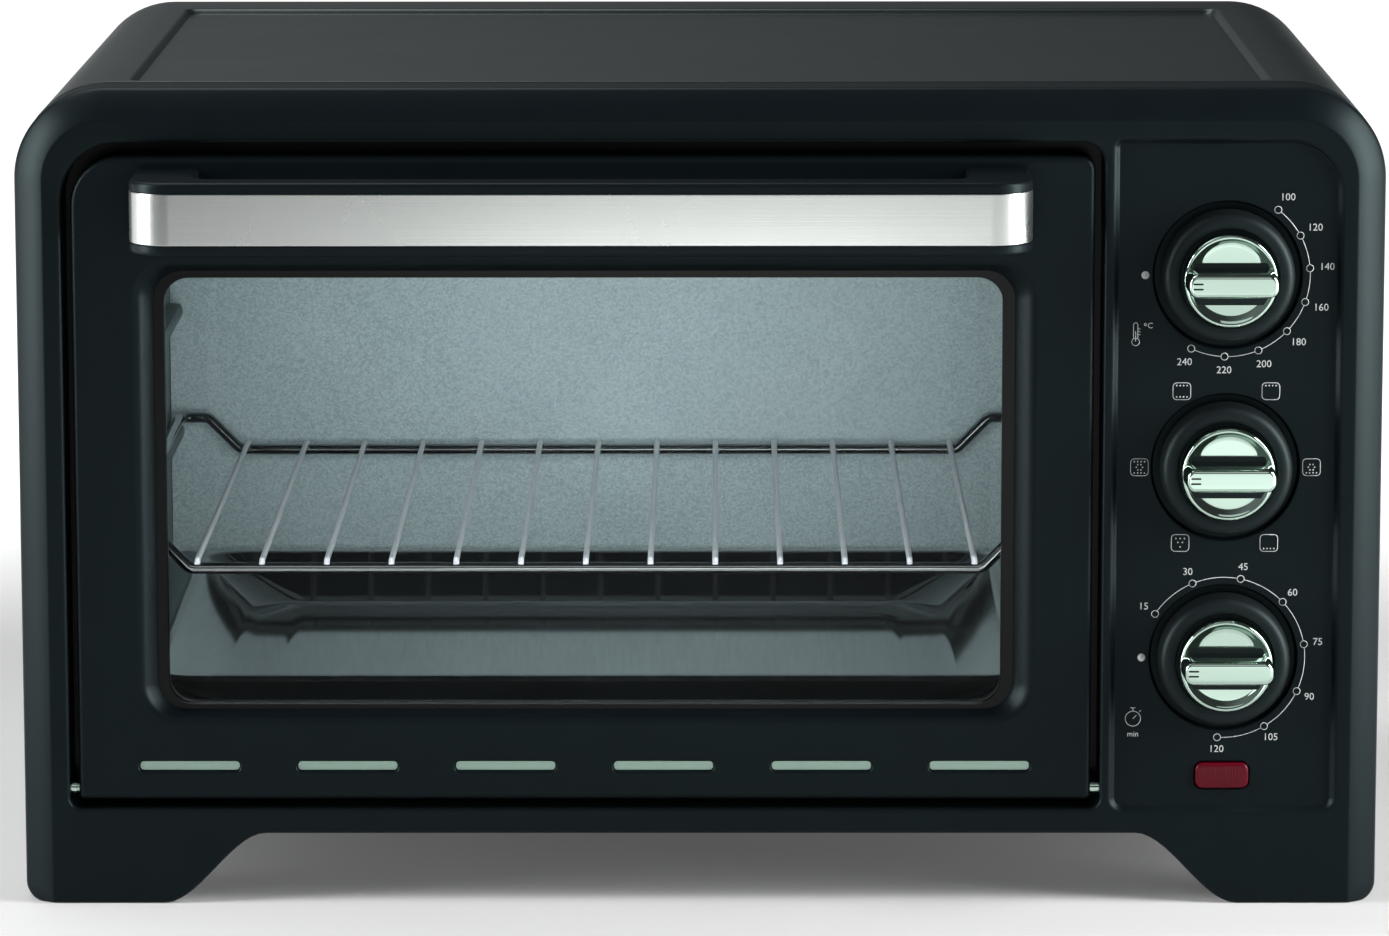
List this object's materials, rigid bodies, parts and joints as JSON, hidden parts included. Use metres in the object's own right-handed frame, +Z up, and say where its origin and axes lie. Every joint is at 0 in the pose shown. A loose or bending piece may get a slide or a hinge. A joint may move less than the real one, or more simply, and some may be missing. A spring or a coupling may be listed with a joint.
{
  "type": "toaster oven",
  "caption": "Countertop toaster oven with a drop-down glass door, bar handle, control knobs, hot-air fan, wire rack and baking tray.",
  "frame": {"origin": "centre of the overall box's footprint, on the surface the oven stands on", "axes": "+X to the right seen from the front, -Y is the front with the door, +Z up"},
  "size_m": [0.48, 0.36, 0.29],
  "materials": {
    "charcoal_plastic": "fine matt texture, charcoal black",
    "black_paint": "satin black stove paint on sheet steel",
    "liner_steel": "aluminised steel, speckled blue-grey",
    "steel": "fine lengthwise brushing",
    "chrome": "bright plated",
    "door_glass": "clear tempered glass",
    "black_enamel": "glossy black enamel",
    "ceramic": "unglazed white ceramic",
    "element_sheath": "heat-darkened steel sheath",
    "black_plastic": "moulded, matt",
    "red_lens": "translucent red, polished",
    "rubber": "matt rubber",
    "brass": "plain brass"
  },
  "bodies": {
    "chassis": {"front_bezel": "charcoal_plastic", "outer_cover": "black_paint", "rear_panel": "black_paint", "base_plate": "black_paint", "rear_foot_left": "rubber", "rear_foot_right": "rubber", "cavity_front_frame": "liner_steel", "cavity_shell": "liner_steel", "cavity_back": "liner_steel", "door_spring_left": "steel", "door_spring_right": "steel", "heat_shield": "liner_steel", "control_bracket": "steel", "thermostat_body": "ceramic", "thermostat_bulb": "brass", "function_switch_body": "black_plastic", "timer_body": "black_plastic", "timer_bell": "brass", "lamp_lens": "red_lens", "lamp_holder": "black_plastic", "fan_grille": "liner_steel", "fan_housing": "steel", "fan_motor": "black_plastic", "terminal_block": "ceramic", "cord_gland": "rubber", "heating_element_upper_front": "element_sheath", "heating_element_upper_rear": "element_sheath", "heating_element_lower_front": "element_sheath", "heating_element_lower_rear": "element_sheath", "element_bush_upper_front_left": "ceramic", "element_bush_upper_front_right": "ceramic", "element_bush_upper_rear_left": "ceramic", "element_bush_upper_rear_right": "ceramic", "element_bush_lower_front_left": "ceramic", "element_bush_lower_front_right": "ceramic", "element_bush_lower_rear_left": "ceramic", "element_bush_lower_rear_right": "ceramic"},
    "door": {"door_frame": "charcoal_plastic", "door_glass": "door_glass", "door_inner_frame": "liner_steel", "handle_bar": "charcoal_plastic", "handle_trim": "steel", "hinge_pin_left": "chrome", "hinge_pin_right": "chrome", "door_arm_left": "steel", "door_arm_right": "steel"},
    "thermostat_dial": {"thermostat_knob": "charcoal_plastic", "thermostat_knob_cap": "chrome", "thermostat_shaft": "steel"},
    "function_dial": {"function_knob": "charcoal_plastic", "function_knob_cap": "chrome", "function_shaft": "steel"},
    "timer_dial": {"timer_knob": "charcoal_plastic", "timer_knob_cap": "chrome", "timer_shaft": "steel"},
    "rack": {"wire_rack": "chrome"},
    "tray": {"baking_tray": "black_enamel"},
    "fan": {"fan_impeller": "liner_steel"}
  },
  "joints": [
    {"name": "door_hinge", "type": "hinge", "parent": "chassis", "child": "door", "pos_m": [-0.04095, -0.132, 0.041], "axis": [1, 0, 0], "range_deg": [0, 86]},
    {"name": "thermostat_turn", "type": "hinge", "parent": "chassis", "child": "thermostat_dial", "pos_m": [0.18455, -0.138, 0.2247], "axis": [0, 1, 0], "range_deg": [0, 296]},
    {"name": "function_turn", "type": "hinge", "parent": "chassis", "child": "function_dial", "pos_m": [0.18455, -0.138, 0.1566], "axis": [0, 1, 0], "range_deg": [0, 300]},
    {"name": "timer_turn", "type": "hinge", "parent": "chassis", "child": "timer_dial", "pos_m": [0.18455, -0.138, 0.0885], "axis": [0, 1, 0], "range_deg": [0, 274]},
    {"name": "rack_slide", "type": "slide", "parent": "chassis", "child": "rack", "axis": [0, -1, 0], "range_m": [0, 0.121]},
    {"name": "tray_slide", "type": "slide", "parent": "chassis", "child": "tray", "axis": [0, -1, 0], "range_m": [0, 0.046]},
    {"name": "fan_spin", "type": "hinge", "parent": "chassis", "child": "fan", "pos_m": [0.14, 0.052, 0.15], "axis": [1, 0, 0], "continuous": true}
  ],
  "couplings": [
    {"joint": "rack_slide", "follows": "door_hinge", "m_per_rad": 0.08},
    {"joint": "tray_slide", "follows": "door_hinge", "m_per_rad": 0.03}
  ]
}
